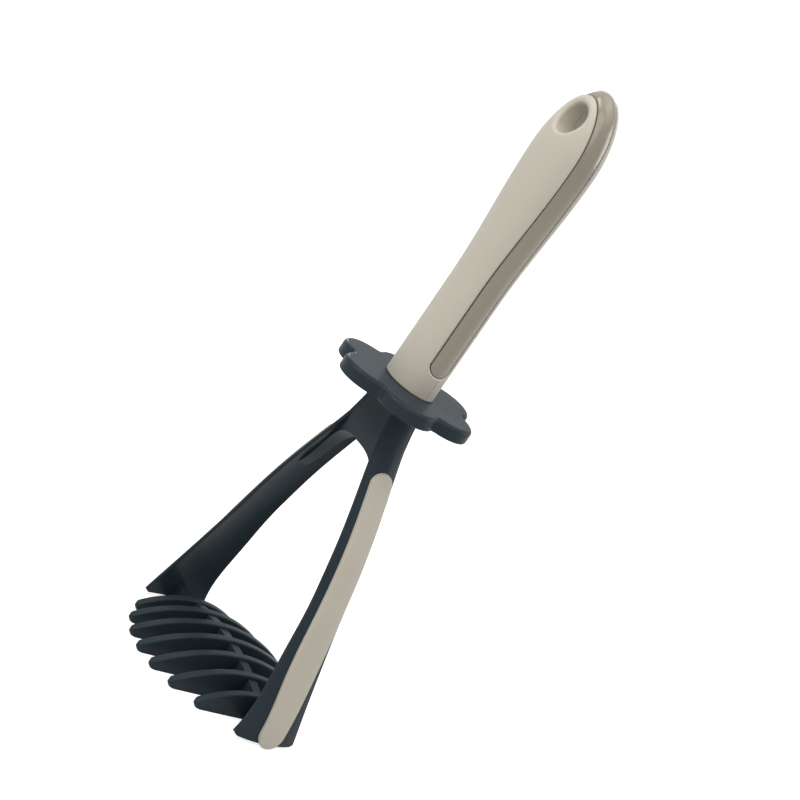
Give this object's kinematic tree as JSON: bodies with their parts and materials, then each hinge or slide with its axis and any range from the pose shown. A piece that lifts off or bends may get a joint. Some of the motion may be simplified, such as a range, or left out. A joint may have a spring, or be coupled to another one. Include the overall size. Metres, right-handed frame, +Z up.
{
  "type": "potato masher",
  "caption": "Potato masher with a bladed nylon head on a two-armed fork, a rosette finger guard and an oval two-colour grip with a hanging hole.",
  "frame": {"origin": "Middle of the resting face under the blades, on the surface that the head stands on.", "axes": "+Z runs up the grip, +X points at one arm of the fork, -Y is the front of the grip where the hanging hole opens."},
  "size_m": [0.1002, 0.0818, 0.2767],
  "materials": {
    "slate_nylon": "satin glass-filled nylon",
    "beige_matte": "fine matte soft-touch plastic",
    "taupe_gloss": "polished plastic",
    "beige_soft": "matte silicone rubber"
  },
  "bodies": {
    "root": {"blade_1": "slate_nylon", "blade_2": "slate_nylon", "blade_3": "slate_nylon", "blade_4": "slate_nylon", "blade_5": "slate_nylon", "blade_6": "slate_nylon", "blade_7": "slate_nylon", "fork": "slate_nylon", "grip_back": "beige_matte", "grip_core": "taupe_gloss", "grip_front": "beige_matte", "guard": "slate_nylon", "scraper_left": "beige_soft", "scraper_right": "beige_soft", "spine": "slate_nylon"}
  },
  "joints": []
}
